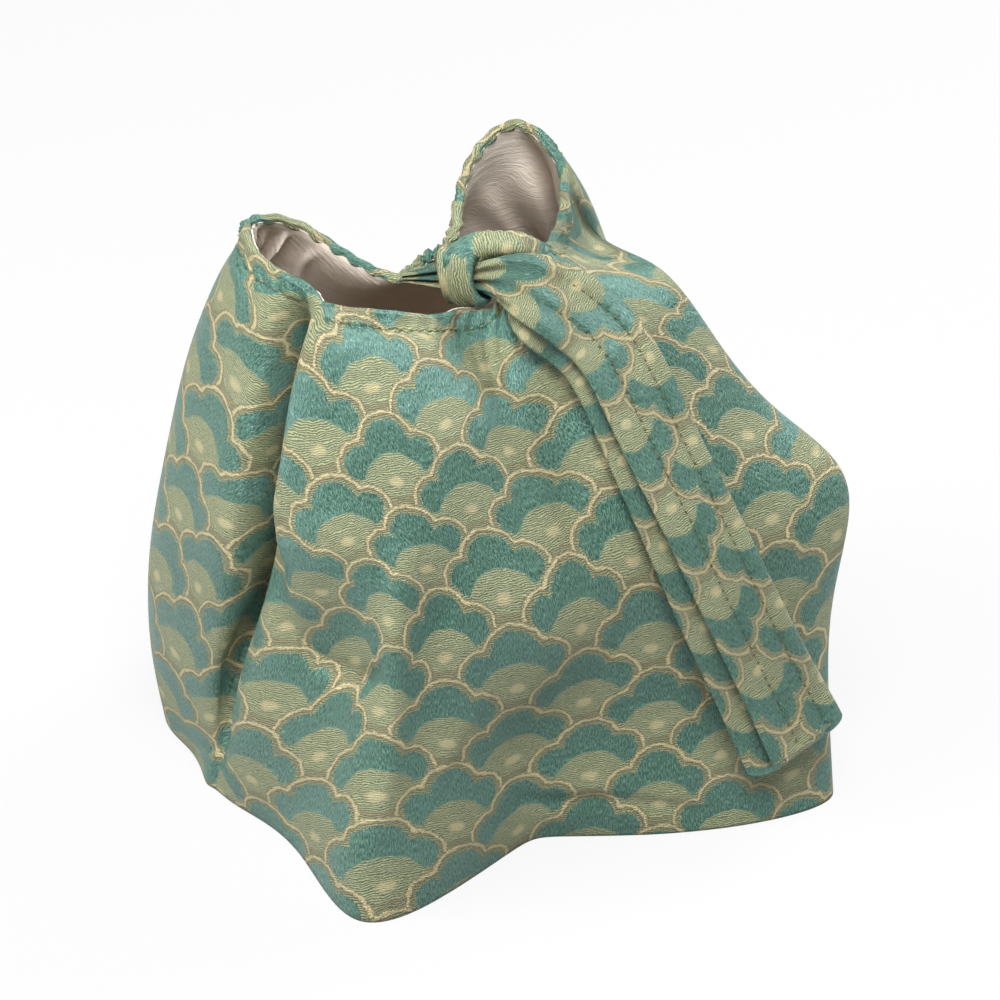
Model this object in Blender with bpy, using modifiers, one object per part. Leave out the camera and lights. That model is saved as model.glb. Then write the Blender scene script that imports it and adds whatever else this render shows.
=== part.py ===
"""Brocade knot pouch: a lined cloth bag with a pinched mouth and a folded wrist strap.

The bag is a loft through hand-drawn folds. Each fold is a line of nine points from
the mouth to the floor, and a smooth cubic runs through them both ways. The cotton
lining is the same surface moved inwards. The strap is one band, folded double.
"""

import bpy
import numpy as np

MM = 0.001

# Driving sizes in millimetres.
BAG_WIDTH = 200.0
BAG_DEPTH = 170.0
BAG_HEIGHT = 180.0
BROCADE_THICKNESS = 1.2
COTTON_THICKNESS = 0.8
LAYER_GAP = 0.4
LINING_RECESS = 0.6
STRAP_WIDTH = 22.0
STRAP_END_FLARE = 3.0
STRAP_THICKNESS = 1.8
STRAP_NECK_WIDTH = 8.0
STRAP_TIP_WIDTH = 3.0
STRAP_LOOP_GAP = 4.0
STRAP_LOOP_SHIFT = 3.2
LOOP_BAND_WIDTH = 10.0
LOOP_THICKNESS = 1.2
LOOP_CLEARANCE = 0.5
LOOP_SLACK = 0.2

# How finely each piece is divided.
COLUMNS_PER_FOLD = 3
WALL_ROWS = 20
FLOOR_RINGS = 2
STRAP_STATIONS = 26
STRAP_TURN_STEPS = 5
STRAP_STRIPS = 4
LOOP_SEGMENTS = 32
LOOP_STRIPS = 3

# The size at which the points of the folds and of the strap are drawn.
DRAWN_SIZE = np.array([200.0, 170.0, 180.0])

# The folds of the bag, drawn as (x, y, z) from the mouth down to the floor's edge.
LEFT_SEAM = ((-69, 8, 164), (-70, 6, 159), (-74, 4, 150), (-83, 4, 129), (-90, 4, 103),
             (-96, 5, 77), (-100, 9, 50), (-101, 14, 22), (-98, 12, 0))
LEFT_CHEEK = ((-65, -6, 163), (-66, -8, 158), (-70, -11, 150), (-75, -15, 131), (-81, -19, 104),
              (-85, -20, 77), (-87, -18, 48), (-89, -12, 20), (-89, -7, 0))
LEFT_RIDGE = ((-57, -16, 163), (-58, -18, 159), (-60, -22, 150), (-63, -28, 131), (-67, -34, 108),
              (-70, -36, 84), (-75, -31, 55), (-80, -26, 27), (-84, -21, 0))
DEEP_PLEAT = ((-50, -22, 161), (-50, -21, 157), (-50, -17, 146), (-51, -15, 126), (-53, -15, 101),
              (-58, -19, 77), (-69, -23, 49), (-76, -26, 25), (-81, -25, 0))
PLEAT_EDGE = ((-43, -26, 159), (-45, -29, 157), (-50, -33, 151), (-55, -38, 134), (-58, -42, 114),
              (-60, -45, 90), (-65, -42, 61), (-72, -38, 29), (-73, -34, 0))
FRONT_LEFT = ((-28, -24, 156), (-29, -28, 153), (-31, -36, 150), (-37, -47, 136), (-40, -56, 114),
              (-40, -60, 90), (-42, -61, 65), (-49, -62, 33), (-56, -54, 0))
FRONT_CORNER = ((-18, -19, 152), (-18, -23, 150), (-18, -32, 147), (-21, -48, 134), (-23, -60, 111),
                (-26, -67, 85), (-30, -73, 60), (-36, -81, 27), (-38, -84, 0))
KNOT_FRONT = ((-9, -11, 149), (-10, -16, 146), (-8, -27, 141), (-6, -43, 130), (-6, -55, 106),
              (-6, -62, 80), (-8, -66, 54), (-11, -70, 25), (-12, -70, 0))
KNOT_RISE = ((0, -5, 151), (0, -9, 148), (2, -18, 140), (7, -31, 126), (10, -46, 103),
             (10, -55, 78), (9, -57, 52), (6, -55, 24), (6, -51, 0))
UNDER_STRAP = ((4, 4, 163), (7, 0, 156), (13, -8, 144), (18, -22, 122), (22, -37, 99),
               (24, -46, 74), (23, -48, 49), (23, -50, 23), (20, -47, 0))
FRONT_RIGHT = ((12, 9, 158), (20, 6, 153), (28, -1, 147), (41, -11, 127), (50, -22, 103),
               (55, -30, 77), (58, -34, 50), (59, -40, 20), (58, -44, 0))
RIGHT_CREST = ((18, 20, 162), (27, 30, 145), (43, 14, 147), (59, 6, 129), (77, 2, 106),
               (92, -6, 88), (90, -14, 58), (89, -22, 27), (90, -30, 0))
CREST_VALLEY = ((18, 26, 167), (26, 35, 148), (38, 30, 137), (54, 23, 117), (75, 19, 98),
                (89, 12, 78), (90, 2, 48), (88, -5, 20), (88, -12, 0))
HOOD_RIGHT = ((17, 31, 171), (26, 39, 152), (32, 48, 132), (44, 44, 120), (65, 42, 97),
              (84, 34, 70), (88, 22, 40), (87, 12, 14), (85, 6, 0))
HOOD_PEAK = ((6, 38, 180), (14, 46, 166), (22, 54, 145), (31, 59, 121), (49, 59, 97),
             (69, 54, 68), (79, 44, 38), (79, 36, 12), (77, 33, 0))
HOOD_LEFT = ((-7, 30, 176), (-2, 42, 160), (6, 54, 142), (16, 67, 122), (28, 77, 98),
             (38, 85, 68), (44, 86, 38), (44, 85, 12), (42, 82, 0))
BACK_RIGHT = ((-12, 18, 166), (-12, 32, 151), (-6, 44, 137), (-2, 58, 119), (2, 73, 95),
              (6, 81, 66), (8, 85, 37), (8, 85, 12), (8, 82, 0))
KNOT_BACK = ((-14, 9, 159), (-17, 22, 146), (-15, 34, 134), (-13, 50, 117), (-12, 67, 93),
             (-10, 78, 65), (-10, 83, 36), (-11, 83, 12), (-12, 80, 0))
BACK_MIDDLE = ((-21, 10, 153), (-26, 22, 141), (-25, 33, 131), (-25, 48, 114), (-26, 63, 91),
               (-27, 74, 64), (-28, 80, 36), (-28, 80, 12), (-29, 77, 0))
BACK_GATHER = ((-28, 12, 147), (-36, 24, 136), (-38, 34, 127), (-40, 46, 112), (-43, 59, 90),
               (-45, 70, 63), (-46, 76, 36), (-46, 76, 12), (-46, 73, 0))
BACK_LEFT = ((-42, 22, 149), (-49, 28, 141), (-52, 35, 130), (-56, 44, 114), (-60, 53, 91),
             (-63, 62, 63), (-64, 68, 36), (-63, 68, 12), (-62, 65, 0))
LEFT_BACK = ((-54, 25, 156), (-60, 30, 147), (-66, 34, 136), (-72, 40, 118), (-78, 47, 91),
             (-81, 53, 63), (-82, 56, 36), (-81, 57, 12), (-79, 55, 0))
LEFT_PEAK = ((-64, 20, 161), (-69, 25, 151), (-76, 27, 140), (-83, 30, 120), (-90, 33, 91),
             (-93, 36, 63), (-94, 38, 36), (-93, 40, 12), (-91, 40, 0))

FOLDS = (LEFT_SEAM, LEFT_CHEEK, LEFT_RIDGE, DEEP_PLEAT, PLEAT_EDGE, FRONT_LEFT, FRONT_CORNER,
         KNOT_FRONT, KNOT_RISE, UNDER_STRAP, FRONT_RIGHT, RIGHT_CREST, CREST_VALLEY, HOOD_RIGHT,
         HOOD_PEAK, HOOD_LEFT, BACK_RIGHT, KNOT_BACK, BACK_MIDDLE, BACK_GATHER, BACK_LEFT,
         LEFT_BACK, LEFT_PEAK)

# The front layer of the strap from its sewn end, through the loop, to the bottom fold.
STRAP_ROUTE = ((-26, 7, 148.5), (-17, 1, 152), (-10, -3, 154), (-3, -7, 156), (4, -11, 157),
               (13, -13, 154), (24, -14, 146), (33, -19, 136), (43, -27, 117), (54, -34, 96),
               (66, -38, 70), (78, -38, 43), (85, -39, 28))
# Which way the strap's right edge points at each place of its route.
STRAP_ACROSS = ((0, 0, 1), (0, 0, 1), (0, 0, 1), (0.1, 0.2, 1), (0.25, 0.5, 0.8),
                (0.5, 0.65, 0.5), (0.8, 0.55, 0.3), (0.87, 0.47, 0.2), (0.85, 0.5, 0.2),
                (0.85, 0.5, 0.2), (0.87, 0.45, 0.24), (0.83, 0.5, 0.25), (0.8, 0.5, 0.25))
STRAP_FULL_FROM = 6.5
STRAP_FLARE_FROM = 10.0
STRAP_NECK_UNTIL = 3.0
STRAP_GATHER_UNTIL = 1.4
LOOP_STATION = 2.0

BROCADE_TEAL = (0.13, 0.30, 0.27)
BROCADE_GOLD = (0.52, 0.47, 0.27)
COTTON_BEIGE = (0.61, 0.49, 0.38)


def clear_scene():
    """Remove every object of the scene that the file opened with."""
    for old in list(bpy.data.objects):
        bpy.data.objects.remove(old, do_unlink=True)


def unit(vectors):
    """Vectors of length one along the last axis."""
    return vectors / np.linalg.norm(vectors, axis=-1, keepdims=True)


def smooth_step(value, start, end):
    """Rise from 0 at start to 1 at end, level at both."""
    share = np.clip((value - start) / (end - start), 0.0, 1.0)
    return share * share * (3.0 - 2.0 * share)


def slopes_through(points, closed):
    """Slopes at the points of the cubic whose bend never jumps, for a unit step."""
    count = len(points)
    left = np.eye(count) * 4.0
    right = np.zeros((count, count))
    for i in range(count):
        before, after = (i - 1) % count, (i + 1) % count
        left[i, before] += 1.0
        left[i, after] += 1.0
        right[i, after] += 3.0
        right[i, before] -= 3.0
    if not closed:
        left[0] = 0.0
        left[0, :2] = (2.0, 1.0)
        right[0] = 0.0
        right[0, :2] = (-3.0, 3.0)
        left[-1] = 0.0
        left[-1, -2:] = (1.0, 2.0)
        right[-1] = 0.0
        right[-1, -2:] = (-3.0, 3.0)
    return np.tensordot(np.linalg.solve(left, right), points, 1)


def cubic_through(points, where, closed=False):
    """Points of the smooth cubic through the given points, at the places in where."""
    points = np.asarray(points, dtype=float)
    count = len(points)
    slopes = slopes_through(points, closed)
    start = np.floor(where).astype(int)
    if not closed:
        start = np.clip(start, 0, count - 2)
    share = (where - start).reshape((-1,) + (1,) * (points.ndim - 1))
    end = (start + 1) % count
    start = start % count
    square, cube = share ** 2, share ** 3
    return (points[start] * (2 * cube - 3 * square + 1) + slopes[start] * (cube - 2 * square + share)
            + points[end] * (3 * square - 2 * cube) + slopes[end] * (cube - square))


def to_size(points):
    """Drawn points stretched to the bag's own width, depth and height."""
    size = np.array([BAG_WIDTH, BAG_DEPTH, BAG_HEIGHT])
    return np.asarray(points, dtype=float) * (size / DRAWN_SIZE)


def bag_surface():
    """Outer face of the cloth as rows of points, from the mouth to a ring on the floor."""
    columns = COLUMNS_PER_FOLD * len(FOLDS)
    around = np.linspace(0, len(FOLDS), columns, endpoint=False)
    down = np.linspace(0, len(FOLDS[0]) - 1, WALL_ROWS + 1)
    rows = cubic_through(to_size(FOLDS), around, closed=True)
    wall = cubic_through(rows.transpose(1, 0, 2), down)
    edge = wall[-1]
    middle = edge.mean(axis=0)
    shares = np.linspace(0, 0.75, FLOOR_RINGS + 1)[1:]
    floor = [edge + (middle - edge) * share for share in shares]
    return np.concatenate([wall, floor])


def grid_mesh(name, rows, closed_round, capped):
    """Mesh of quads between rows of points, with one flat face over the last row if capped."""
    count, across = rows.shape[:2]
    steps = across if closed_round else across - 1
    faces = []
    for j in range(count - 1):
        for i in range(steps):
            k = (i + 1) % across
            faces.append((j * across + i, (j + 1) * across + i, (j + 1) * across + k, j * across + k))
    if capped:
        last = (count - 1) * across
        faces.append(tuple(range(last + across - 1, last - 1, -1)))
    mesh = bpy.data.meshes.new(name)
    mesh.from_pydata((rows.reshape(-1, 3) * MM).tolist(), [], faces)
    mesh.update()
    mesh.shade_smooth()
    return mesh


def moved_in(rows, mesh, distance):
    """The rows of a mesh moved inwards by a distance, square to its faces."""
    normals = np.empty(rows.size)
    mesh.vertices.foreach_get("normal", normals)
    return rows - normals.reshape(rows.shape) * distance


def cloth_material(name, colour):
    """Matt woven cloth of one colour."""
    material = bpy.data.materials.new(name)
    material.use_nodes = True
    shader = material.node_tree.nodes["Principled BSDF"]
    shader.inputs["Base Color"].default_value = (*colour, 1.0)
    shader.inputs["Roughness"].default_value = 0.75
    shader.inputs["Metallic"].default_value = 0.0
    return material


def add_cloth(name, mesh, thickness, side, colour, group):
    """Object made of an open surface and a Solidify that gives it the cloth's thickness."""
    piece = bpy.data.objects.new(name, mesh)
    piece.data.materials.append(cloth_material(name + "_cloth", colour))
    group.objects.link(piece)
    shell = piece.modifiers.new("thickness", "SOLIDIFY")
    shell.thickness = thickness * MM
    shell.offset = side
    return piece


def add_outer_bag(group):
    """Brocade shell: walls with their folds, pinched mouth and flat floor."""
    mesh = grid_mesh("outer_bag", bag_surface(), closed_round=True, capped=True)
    return add_cloth("outer_bag", mesh, BROCADE_THICKNESS, -1.0, BROCADE_TEAL, group)


def add_lining(outer, group):
    """Cotton bag inside the brocade, a little below its edge at the mouth."""
    rows = moved_in(bag_surface(), outer.data, BROCADE_THICKNESS + LAYER_GAP)
    rows[0] += unit(rows[1] - rows[0]) * LINING_RECESS
    mesh = grid_mesh("lining", rows, closed_round=True, capped=True)
    return add_cloth("lining", mesh, COTTON_THICKNESS, -1.0, COTTON_BEIGE, group)


def strap_frame(where):
    """Centre, right-hand direction and outward direction of the strap's front layer."""
    centre = cubic_through(to_size(STRAP_ROUTE), where)
    step = 0.01
    ahead = cubic_through(to_size(STRAP_ROUTE), np.minimum(where + step, len(STRAP_ROUTE) - 1))
    behind = cubic_through(to_size(STRAP_ROUTE), np.maximum(where - step, 0))
    along = unit(ahead - behind)
    wish = cubic_through(STRAP_ACROSS, where)
    out = unit(np.cross(along, wish))
    across = np.cross(out, along)
    return centre, along, across, out


def strap_width(where):
    """Width of the strap: a gathered tip, the neck in the loop, then full, spread at its fold."""
    gathers = smooth_step(where, 0, STRAP_GATHER_UNTIL)
    neck = STRAP_TIP_WIDTH + (STRAP_NECK_WIDTH - STRAP_TIP_WIDTH) * gathers
    opening = smooth_step(where, STRAP_NECK_UNTIL, STRAP_FULL_FROM)
    flare = STRAP_END_FLARE * smooth_step(where, STRAP_FLARE_FROM, len(STRAP_ROUTE) - 1)
    return neck + (STRAP_WIDTH - STRAP_NECK_WIDTH) * opening + flare


def strap_layer_gap(where):
    """Distance between the middles of the two layers: nearly closed inside the loop."""
    closed_gap = STRAP_THICKNESS + LOOP_CLEARANCE
    opening = smooth_step(where, STRAP_NECK_UNTIL, STRAP_FULL_FROM)
    return closed_gap + (STRAP_LOOP_GAP - closed_gap) * opening


def strap_surface():
    """Middle face of the strap: front layer down, half turn, under layer back up."""
    last = len(STRAP_ROUTE) - 1
    where = np.linspace(0, last, STRAP_STATIONS)
    centre, along, across, out = strap_frame(where)
    gap = strap_layer_gap(where)[:, None]
    shift = STRAP_LOOP_SHIFT * smooth_step(where, STRAP_NECK_UNTIL, STRAP_FULL_FROM)[:, None]
    angles = np.linspace(0, np.pi, STRAP_TURN_STEPS + 2)[1:-1, None]
    radius = gap[-1] / 2
    turned = (1 - np.cos(angles)) / 2
    turn = (centre[-1] - out[-1] * radius * (1 - np.cos(angles)) + along[-1] * radius * np.sin(angles)
            - across[-1] * shift[-1] * turned)
    under = centre - out * gap - across * shift
    middle = np.concatenate([centre, turn, under[::-1]])
    sideways = np.concatenate([across, np.repeat(across[-1:], STRAP_TURN_STEPS, 0), across[::-1]])
    ends = strap_width(np.array([float(last)]))
    width = np.concatenate([strap_width(where), np.repeat(ends, STRAP_TURN_STEPS),
                            strap_width(where)[::-1]])
    shares = np.linspace(-0.5, 0.5, STRAP_STRIPS + 1)
    return middle[:, None] + sideways[:, None] * width[:, None, None] * shares[None, :, None]


def add_wrist_strap(group):
    """Flat brocade band, folded double, with both ends gathered inside the mouth."""
    mesh = grid_mesh("wrist_strap", strap_surface(), closed_round=False, capped=False)
    return add_cloth("wrist_strap", mesh, STRAP_THICKNESS, 0.0, BROCADE_GOLD, group)


def loop_surface():
    """Inner face of the loop: an upright oval band around both layers of the strap."""
    place = np.array([LOOP_STATION])
    centre, along, across, out = (part[0] for part in strap_frame(place))
    gap = strap_layer_gap(place)[0]
    middle = centre - out * gap / 2
    half_tall = STRAP_NECK_WIDTH / 2 + STRAP_THICKNESS + LOOP_CLEARANCE
    half_deep = gap / 2 + STRAP_THICKNESS + LOOP_CLEARANCE + LOOP_SLACK
    angles = np.linspace(0, 2 * np.pi, LOOP_SEGMENTS, endpoint=False)[None, :, None]
    steps = np.linspace(-0.5, 0.5, LOOP_STRIPS + 1)[:, None, None]
    oval = across * half_tall * np.cos(angles) - out * half_deep * np.sin(angles)
    return middle + oval + along * LOOP_BAND_WIDTH * steps


def add_closing_loop(group):
    """Short brocade loop that holds the gathered strap at the middle of the mouth."""
    mesh = grid_mesh("closing_loop", loop_surface(), closed_round=True, capped=False)
    return add_cloth("closing_loop", mesh, LOOP_THICKNESS, 1.0, BROCADE_GOLD, group)


def main():
    """Build the pouch's four pieces, with the origin on the floor under the bag's middle."""
    clear_scene()
    group = bpy.data.collections.new("brocade_knot_pouch")
    bpy.context.scene.collection.children.link(group)
    outer = add_outer_bag(group)
    pieces = (outer, add_lining(outer, group), add_closing_loop(group), add_wrist_strap(group))
    corners = np.array(outer.bound_box)
    middle = (corners.min(axis=0) + corners.max(axis=0)) / 2
    for piece in pieces:
        piece.location = (-middle[0], -middle[1], 0.0)


main()
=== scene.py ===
"""Looks of the brocade knot pouch: cloth surfaces, woven pattern, stitching, camera and light.

The cloth shapes are smooth cubics through the same folds as the solid model, worked out
finely, with hems, creases and seams added. The settings, lamps and camera are in metres.
All other sizes are in millimetres up to the last step, where a mesh is written in metres.
"""

import math

import bpy
import numpy as np
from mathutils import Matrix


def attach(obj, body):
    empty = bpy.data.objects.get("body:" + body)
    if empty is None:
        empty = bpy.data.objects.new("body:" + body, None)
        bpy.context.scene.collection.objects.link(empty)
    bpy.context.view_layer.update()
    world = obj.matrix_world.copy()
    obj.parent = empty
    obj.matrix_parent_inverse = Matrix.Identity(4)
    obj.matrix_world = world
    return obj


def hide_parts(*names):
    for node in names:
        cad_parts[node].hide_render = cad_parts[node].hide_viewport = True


bl_info = {
    "name": "Brocade knot pouch",
    "version": (1, 0, 0),
    "blender": (4, 5, 0),
    "location": "3D View > Sidebar > Pouch",
    "description": "Lined brocade pouch with a pinched mouth and a folded wrist strap",
    "category": "Add Mesh",
}

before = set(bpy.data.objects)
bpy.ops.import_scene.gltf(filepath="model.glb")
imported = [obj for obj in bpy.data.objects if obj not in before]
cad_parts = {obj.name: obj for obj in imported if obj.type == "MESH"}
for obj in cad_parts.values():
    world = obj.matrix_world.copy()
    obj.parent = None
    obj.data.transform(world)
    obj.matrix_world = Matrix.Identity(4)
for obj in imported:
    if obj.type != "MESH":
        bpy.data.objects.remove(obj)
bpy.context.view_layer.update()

MM = 0.001
BODY = "root"

# The folds of the bag as (x, y, z) in millimetres, from the mouth down to the floor's edge.
FOLDS = (
    ((-69, 8, 164), (-70, 6, 159), (-74, 4, 150), (-83, 4, 129), (-90, 4, 103),
     (-96, 5, 77), (-100, 9, 50), (-101, 14, 22), (-98, 12, 0)),
    ((-65, -6, 163), (-66, -8, 158), (-70, -11, 150), (-75, -15, 131), (-81, -19, 104),
     (-85, -20, 77), (-87, -18, 48), (-89, -12, 20), (-89, -7, 0)),
    ((-57, -16, 163), (-58, -18, 159), (-60, -22, 150), (-63, -28, 131), (-67, -34, 108),
     (-70, -36, 84), (-75, -31, 55), (-80, -26, 27), (-84, -21, 0)),
    ((-50, -22, 161), (-50, -21, 157), (-50, -17, 146), (-51, -15, 126), (-53, -15, 101),
     (-58, -19, 77), (-69, -23, 49), (-76, -26, 25), (-81, -25, 0)),
    ((-43, -26, 159), (-45, -29, 157), (-50, -33, 151), (-55, -38, 134), (-58, -42, 114),
     (-60, -45, 90), (-65, -42, 61), (-72, -38, 29), (-73, -34, 0)),
    ((-28, -24, 156), (-29, -28, 153), (-31, -36, 150), (-37, -47, 136), (-40, -56, 114),
     (-40, -60, 90), (-42, -61, 65), (-49, -62, 33), (-56, -54, 0)),
    ((-18, -19, 152), (-18, -23, 150), (-18, -32, 147), (-21, -48, 134), (-23, -60, 111),
     (-26, -67, 85), (-30, -73, 60), (-36, -81, 27), (-38, -84, 0)),
    ((-9, -11, 149), (-10, -16, 146), (-8, -27, 141), (-6, -43, 130), (-6, -55, 106),
     (-6, -62, 80), (-8, -66, 54), (-11, -70, 25), (-12, -70, 0)),
    ((0, -5, 151), (0, -9, 148), (2, -18, 140), (7, -31, 126), (10, -46, 103),
     (10, -55, 78), (9, -57, 52), (6, -55, 24), (6, -51, 0)),
    ((4, 4, 163), (7, 0, 156), (13, -8, 144), (18, -22, 122), (22, -37, 99),
     (24, -46, 74), (23, -48, 49), (23, -50, 23), (20, -47, 0)),
    ((12, 9, 158), (20, 6, 153), (28, -1, 147), (41, -11, 127), (50, -22, 103),
     (55, -30, 77), (58, -34, 50), (59, -40, 20), (58, -44, 0)),
    ((18, 20, 162), (27, 30, 145), (43, 14, 147), (59, 6, 129), (77, 2, 106),
     (94, -6, 88), (91, -14, 58), (91, -22, 27), (93, -30, 0)),
    ((18, 26, 167), (26, 35, 148), (38, 30, 137), (54, 23, 117), (75, 19, 98),
     (89, 12, 78), (90, 2, 48), (88, -5, 20), (88, -12, 0)),
    ((17, 31, 171), (26, 39, 152), (32, 48, 132), (44, 44, 120), (65, 42, 97),
     (84, 34, 70), (88, 22, 40), (87, 12, 14), (85, 6, 0)),
    ((6, 38, 180), (14, 46, 166), (22, 54, 145), (31, 59, 121), (49, 59, 97),
     (69, 54, 68), (79, 44, 38), (79, 36, 12), (77, 33, 0)),
    ((-7, 30, 176), (-2, 42, 160), (6, 54, 142), (16, 67, 122), (28, 77, 98),
     (38, 85, 68), (44, 86, 38), (44, 85, 12), (42, 82, 0)),
    ((-12, 18, 166), (-12, 32, 151), (-6, 44, 137), (-2, 58, 119), (2, 73, 95),
     (6, 81, 66), (8, 85, 37), (8, 85, 12), (8, 82, 0)),
    ((-14, 9, 159), (-17, 22, 146), (-15, 34, 134), (-13, 50, 117), (-12, 67, 93),
     (-10, 78, 65), (-10, 83, 36), (-11, 83, 12), (-12, 80, 0)),
    ((-21, 10, 153), (-26, 22, 141), (-25, 33, 131), (-25, 48, 114), (-26, 63, 91),
     (-27, 74, 64), (-28, 80, 36), (-28, 80, 12), (-29, 77, 0)),
    ((-28, 12, 147), (-36, 24, 136), (-38, 34, 127), (-40, 46, 112), (-43, 59, 90),
     (-45, 70, 63), (-46, 76, 36), (-46, 76, 12), (-46, 73, 0)),
    ((-42, 22, 149), (-49, 28, 141), (-52, 35, 130), (-56, 44, 114), (-60, 53, 91),
     (-63, 62, 63), (-64, 68, 36), (-63, 68, 12), (-62, 65, 0)),
    ((-54, 25, 156), (-60, 30, 147), (-66, 34, 136), (-72, 40, 118), (-78, 47, 91),
     (-81, 53, 63), (-82, 56, 36), (-81, 57, 12), (-79, 55, 0)),
    ((-64, 20, 161), (-69, 25, 151), (-76, 27, 140), (-83, 30, 120), (-90, 33, 91),
     (-93, 36, 63), (-94, 38, 36), (-93, 40, 12), (-91, 40, 0)),
)

# The front layer of the strap from its sewn end, through the loop, to the bottom fold,
# and which way its right edge points at each place.
STRAP_ROUTE = ((-26, 7, 148.5), (-17, 1, 152), (-10, -3, 154), (-3, -7, 156), (4, -11, 157),
               (13, -13, 154), (24, -14, 146), (33, -19, 136), (43, -27, 117), (54, -34, 96),
               (66, -38, 70), (78, -38, 43), (85, -39, 28))
STRAP_ACROSS = ((0, 0, 1), (0, 0, 1), (0, 0, 1), (0.1, 0.2, 1), (0.25, 0.5, 0.8),
                (0.5, 0.65, 0.5), (0.8, 0.55, 0.3), (0.87, 0.47, 0.2), (0.85, 0.5, 0.2),
                (0.85, 0.5, 0.2), (0.87, 0.45, 0.24), (0.83, 0.5, 0.25), (0.8, 0.5, 0.25))
STRAP_NECK_UNTIL = 2.3
STRAP_FULL_FROM = 5.4
STRAP_FLARE_FROM = 10.0
STRAP_LAST = 12.0
STRAP_GATHER_UNTIL = 1.4
STRAP_TIP_WIDTH = 3.0
STRAP_NECK_WIDTH = 8.0
# The strap's two stitch lines, as shares of its half width to the right of its middle.
STRAP_STITCHES = (-0.26, 0.52)
LOOP_STATION = 2.0

# Where the drawn folds lie from the finished object: its origin is under its middle.
CENTRING = np.array([3.0, -3.04, 0.0])
# The folds from which the cloth's width is measured: the front corner's and, for the panel
# that turns round the left side, the ridge's. The panels meet in the deep pleat and at the back.
FRONT_FOLD = 6
SIDE_FOLD = 2
PLEAT_FOLD = 3
BACK_FOLD = 16

# One repeat of the woven scales, in millimetres; each second column lies half a repeat lower.
MOTIF_WIDTH = 41.4
MOTIF_HEIGHT = 28.0
# How far a dome's pull on the weave reaches, and how softly it is followed.
PULL_REACH = 40.0
PULL_EASE = 0.1

# Where woven domes lie on each panel: cloth width and height in millimetres, then the
# dome's column and row in the weave.
FRONT_DOMES = (
    (3, 107, 0, 0), (25, 93, 1, 0), (50, 78, 2, 0), (77, 63, 3, 0), (12, 79, 0, 1), (35, 65, 1, 1),
    (61, 49, 2, 1), (86, 37, 3, 1), (107, 25, 4, 1), (18, 51, 0, 2), (48, 33, 1, 2), (71, 25, 2, 2),
    (94, 13, 3, 2), (28, 24, 0, 3), (15, 118, 1, -1), (41, 106, 2, -1), (66, 90, 3, -1),
    (-5, 131, 0, -1), (-15, 153, 0, -2), (6, 145, 1, -2), (-4, 174, 1, -3), (27, 130, 2, -2),
    (18, 155, 2, -3), (-19, 112, -1, 0), (-26, 134, -1, -1), (-26, 93, -2, 1), (-5, 94, -1, 1),
    (-10, 79, -2, 2), (-39, 75, -3, 2), (-38, 53, -3, 3), (-27, 41, -2, 3), (-57, 17, -3, 4),
    (-6, 66, -1, 2), (2, 45, -1, 3), (6, 17, -1, 4), (68, 154, 4, -4), (96, 148, 5, -4),
    (82, 134, 4, -3), (107, 118, 5, -3), (113, 93, 5, -2))
SIDE_DOMES = (
    (3, 159, 0, 0), (-7, 141, 0, 1), (-25, 113, 0, 2), (-33, 89, 0, 3), (-38, 64, 0, 4),
    (8, 119, 1, 1), (-3, 104, 1, 2), (-17, 74, 1, 3), (-26, 39, 1, 4), (1, 59, 2, 3),
    (-1, 29, 2, 4))

# Creases of the front panel: a line on the flat cloth, its rise, its lean to one side and
# its half width, all in millimetres.
CREASES = (
    (((-36, 72), (-27, 67), (-18, 67), (-9, 70), (-3, 76)), -2.4, 0.0, 3.2),
    (((-34, 75), (-21, 72), (-8, 75)), -3.0, 0.0, 11.0),
    (((-34, 112), (-22, 106), (-8, 106)), 3.0, 0.0, 12.0),
    (((-43, 102), (-43, 90), (-40, 78), (-35, 68)), -3.0, 0.0, 6.0),
    (((-76, 70), (-77, 50), (-73, 32), (-74, 10)), -3.0, 0.0, 6.0),
    (((-35, 146), (-36, 124), (-40, 108), (-36, 96)), 1.6, 0.0, 3.6),
    (((0, 112), (-1, 95), (0, 78), (2, 61), (4, 40), (1, 20)), 2.8, 0.0, 4.4),
    (((9, 104), (9, 80), (11, 60), (13, 40)), -1.6, 0.0, 5.5),
    (((12, 176), (17, 165), (23, 150), (30, 132), (36, 112)), -3.4, 0.0, 7.0),
    (((20, 180), (30, 166), (42, 156), (56, 150)), 1.8, 0.0, 4.0),
    (((52, 20), (62, 15), (76, 14), (92, 11), (110, 6)), -1.2, 1.6, 3.0),
    (((-2, 150), (-12, 138), (-18, 122), (-20, 108)), 0.8, 0.0, 6.0),
    (((12, 92), (32, 84), (52, 78), (68, 74)), 4.2, 0.0, 18.0),
    (((22, 46), (46, 38), (72, 32), (100, 26)), -5.2, 0.0, 17.0))

# Pleats of the lining below the mouth: place among the folds, half width in folds, how far
# they stand into the bag, and where they begin and are full below the edge, in millimetres.
LINING_PLEATS = (
    (21.18, 0.10, 4.2, 1.5, 9.0), (21.95, 0.16, 3.0, 2.0, 9.0), (22.55, 0.14, 2.2, 1.0, 6.0),
    (20.3, 0.12, 1.4, 2.0, 10.0), (14.62, 0.38, 6.5, 0.0, 30.0), (13.62, 0.36, 6.0, 0.0, 30.0),
    (15.35, 0.25, 2.5, 0.0, 24.0))

# One woven scale in millimetres from its dome's base: the crown's top lobe as height and
# radius, its side lobes as place across, height and radius, the dome's half width and
# height, how far the outline reaches and where its cord runs.
TOP_LOBE = (13.2, 7.0)
SIDE_LOBE = (9.4, 9.0, 5.0)
DOME = (10.4, 9.6)
OUTLINE_REACH = 2.9
CORD_PLACE = 2.0
# Gold ribs' pitch, drawn twice as coarse as the real ones.
RIB_PITCH = 0.66
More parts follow.
